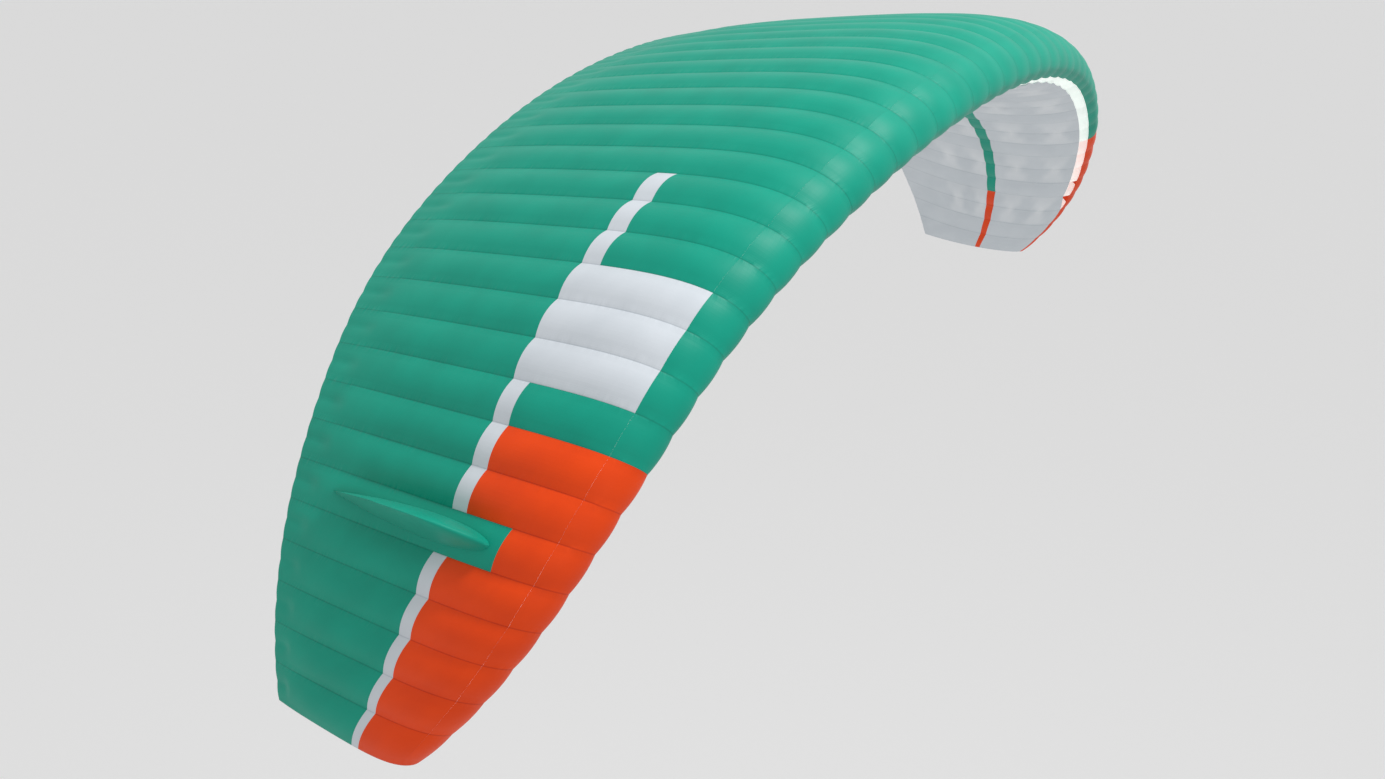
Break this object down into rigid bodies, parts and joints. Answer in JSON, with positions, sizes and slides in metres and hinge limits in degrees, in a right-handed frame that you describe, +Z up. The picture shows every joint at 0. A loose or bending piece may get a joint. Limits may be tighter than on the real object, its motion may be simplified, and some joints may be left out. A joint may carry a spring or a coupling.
{
  "type": "paraglider wing",
  "caption": "Ram-air paraglider wing in its inflated flight shape: an arched elliptical cloth canopy of ribs, upper, lower and nose cloth with air intakes and small tip fins.",
  "frame": {"origin": "line_attachment: the point on the lower cloth of the middle cell at 30% of its chord, where the centre lines would pull", "axes": "+X along the span towards the pilot's left tip, -Y the direction of flight, +Z up"},
  "size_m": [9.0034, 2.8612, 3.0956],
  "materials": {
    "white_rib_cloth": "plain white ripstop nylon, stiffened, matt",
    "teal_ripstop": "teal coated ripstop nylon with a soft sheen",
    "orange_ripstop": "orange-red coated ripstop nylon with a soft sheen",
    "light_grey_ripstop": "light grey coated ripstop nylon, slightly translucent"
  },
  "bodies": {
    "root": {"rib_00": "white_rib_cloth", "rib_01": "white_rib_cloth", "rib_02": "white_rib_cloth", "rib_03": "white_rib_cloth", "rib_04": "white_rib_cloth", "rib_05": "white_rib_cloth", "rib_06": "white_rib_cloth", "rib_07": "white_rib_cloth", "rib_08": "white_rib_cloth", "rib_09": "white_rib_cloth", "rib_10": "white_rib_cloth", "rib_11": "white_rib_cloth", "rib_12": "white_rib_cloth", "rib_13": "white_rib_cloth", "rib_14": "white_rib_cloth", "rib_15": "white_rib_cloth", "rib_16": "white_rib_cloth", "rib_17": "white_rib_cloth", "rib_18": "white_rib_cloth", "rib_19": "white_rib_cloth", "rib_20": "white_rib_cloth", "rib_21": "white_rib_cloth", "rib_22": "white_rib_cloth", "rib_23": "white_rib_cloth", "rib_24": "white_rib_cloth", "rib_25": "white_rib_cloth", "rib_26": "white_rib_cloth", "rib_27": "white_rib_cloth", "rib_28": "white_rib_cloth", "rib_29": "white_rib_cloth", "rib_30": "white_rib_cloth", "rib_31": "white_rib_cloth", "rib_32": "white_rib_cloth", "rib_33": "white_rib_cloth", "rib_34": "white_rib_cloth", "rib_35": "white_rib_cloth", "rib_36": "white_rib_cloth", "rib_37": "white_rib_cloth", "rib_38": "white_rib_cloth", "rib_39": "white_rib_cloth", "rib_40": "white_rib_cloth", "rib_41": "white_rib_cloth", "rib_42": "white_rib_cloth", "rib_43": "white_rib_cloth", "rib_44": "white_rib_cloth", "rib_45": "white_rib_cloth", "rib_46": "white_rib_cloth", "rib_47": "white_rib_cloth", "nose_right": "orange_ripstop", "upper_right": "teal_ripstop", "lower_right": "light_grey_ripstop", "nose_centre": "teal_ripstop", "upper_centre": "teal_ripstop", "lower_centre": "light_grey_ripstop", "nose_left": "orange_ripstop", "upper_left": "teal_ripstop", "lower_left": "light_grey_ripstop", "fin_right": "teal_ripstop", "fin_left": "teal_ripstop"}
  },
  "joints": []
}
